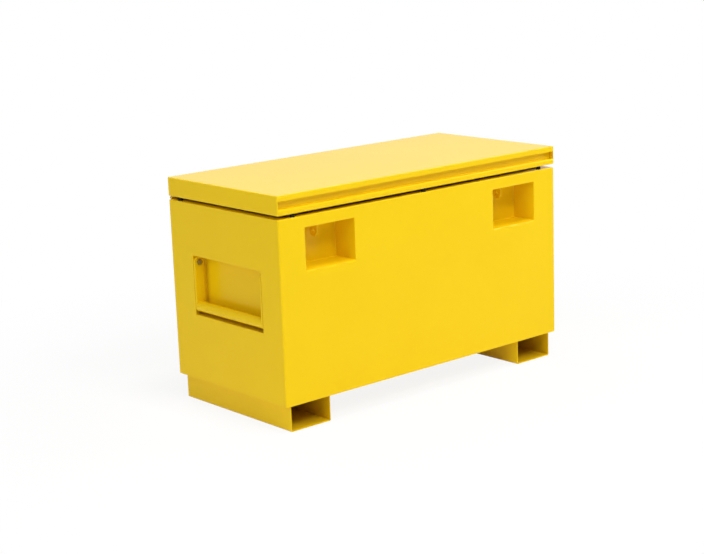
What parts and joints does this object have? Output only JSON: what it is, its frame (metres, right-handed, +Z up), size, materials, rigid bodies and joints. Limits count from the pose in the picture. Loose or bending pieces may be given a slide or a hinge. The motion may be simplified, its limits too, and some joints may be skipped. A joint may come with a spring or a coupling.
{
  "type": "jobsite storage box",
  "caption": "Steel jobsite storage box: strut-held hinged lid with finger groove, recessed lock pockets with padlock tabs, drop handles in end pans, fork skids.",
  "frame": {"origin": "on the ground under the middle of the box, centre of the footprint", "axes": "+Z up, +X along the length towards the right end as seen from the front, -Y towards the front with the lock pockets"},
  "size_m": [1.22, 0.574, 0.748],
  "materials": {
    "yellow_powder_coat": "glossy bright yellow powder coat on folded steel sheet",
    "black_rubber": "matt black moulded rubber",
    "zinc_plated_steel": "zinc plated steel",
    "black_enamel": "satin black enamel",
    "polished_rod": "hard chromed and polished",
    "black_nylon": "moulded black nylon"
  },
  "bodies": {
    "root": {"floor_panel": "yellow_powder_coat", "front_panel": "yellow_powder_coat", "handle_pivot_bolts": "zinc_plated_steel", "handle_pivot_nuts": "zinc_plated_steel", "handle_pivot_washers": "zinc_plated_steel", "hinge_leaf_body": "yellow_powder_coat", "hinge_pin": "zinc_plated_steel", "left_end_panel": "yellow_powder_coat", "left_handle_pan": "yellow_powder_coat", "left_lock_pocket": "yellow_powder_coat", "left_skid": "yellow_powder_coat", "left_strut_body_bracket": "yellow_powder_coat", "rear_panel": "yellow_powder_coat", "right_end_panel": "yellow_powder_coat", "right_handle_pan": "yellow_powder_coat", "right_lock_pocket": "yellow_powder_coat", "right_skid": "yellow_powder_coat", "right_strut_body_bracket": "yellow_powder_coat", "rim_bumpers": "black_rubber", "strut_body_clips": "zinc_plated_steel"},
    "lid": {"hinge_leaf_lid": "yellow_powder_coat", "left_lid_stiffener": "yellow_powder_coat", "left_lock_tab": "yellow_powder_coat", "left_strut_lid_bracket": "yellow_powder_coat", "lid_front_pull": "yellow_powder_coat", "lid_shell": "yellow_powder_coat", "right_lid_stiffener": "yellow_powder_coat", "right_lock_tab": "yellow_powder_coat", "right_strut_lid_bracket": "yellow_powder_coat", "strut_lid_clips": "zinc_plated_steel"},
    "left_handle": {"left_handle_front_arm": "yellow_powder_coat", "left_handle_grip": "yellow_powder_coat", "left_handle_rear_arm": "yellow_powder_coat"},
    "left_strut_tube": {"left_strut_cylinder": "black_enamel", "left_strut_lower_eye": "black_nylon"},
    "left_strut_piston_rod": {"left_strut_rod": "polished_rod", "left_strut_upper_eye": "black_nylon"},
    "right_handle": {"right_handle_front_arm": "yellow_powder_coat", "right_handle_grip": "yellow_powder_coat", "right_handle_rear_arm": "yellow_powder_coat"},
    "right_strut_tube": {"right_strut_cylinder": "black_enamel", "right_strut_lower_eye": "black_nylon"},
    "right_strut_piston_rod": {"right_strut_rod": "polished_rod", "right_strut_upper_eye": "black_nylon"}
  },
  "joints": [
    {"name": "lid_hinge", "type": "hinge", "parent": "root", "child": "lid", "pos_m": [0, 0.282, 0.68], "axis": [-1, 0, 0], "range_deg": [0, 95]},
    {"name": "left_handle_swing", "type": "hinge", "parent": "root", "child": "left_handle", "pos_m": [-0.5914, 0, 0.48], "axis": [0, 1, 0], "range_deg": [-4, 98]},
    {"name": "left_strut_swing", "type": "hinge", "parent": "root", "child": "left_strut_tube", "pos_m": [-0.543, 0.15184, 0.38767], "axis": [-1, 0, 0], "range_deg": [0, 47.5]},
    {"name": "left_strut_rod_swing", "type": "hinge", "parent": "lid", "child": "left_strut_piston_rod", "pos_m": [-0.543, -0.03722, 0.70232], "axis": [-1, 0, 0], "range_deg": [-47.5, 0]},
    {"name": "right_handle_swing", "type": "hinge", "parent": "root", "child": "right_handle", "pos_m": [0.5914, 0, 0.48], "axis": [0, -1, 0], "range_deg": [-4, 98]},
    {"name": "right_strut_swing", "type": "hinge", "parent": "root", "child": "right_strut_tube", "pos_m": [0.543, 0.15184, 0.38767], "axis": [-1, 0, 0], "range_deg": [0, 47.5]},
    {"name": "right_strut_rod_swing", "type": "hinge", "parent": "lid", "child": "right_strut_piston_rod", "pos_m": [0.543, -0.03722, 0.70232], "axis": [-1, 0, 0], "range_deg": [-47.5, 0]}
  ],
  "couplings": [
    {"joint": "left_strut_swing", "follows": "lid_hinge", "ratio": 0.5},
    {"joint": "left_strut_rod_swing", "follows": "lid_hinge", "ratio": -0.5},
    {"joint": "right_strut_swing", "follows": "lid_hinge", "ratio": 0.5},
    {"joint": "right_strut_rod_swing", "follows": "lid_hinge", "ratio": -0.5}
  ]
}
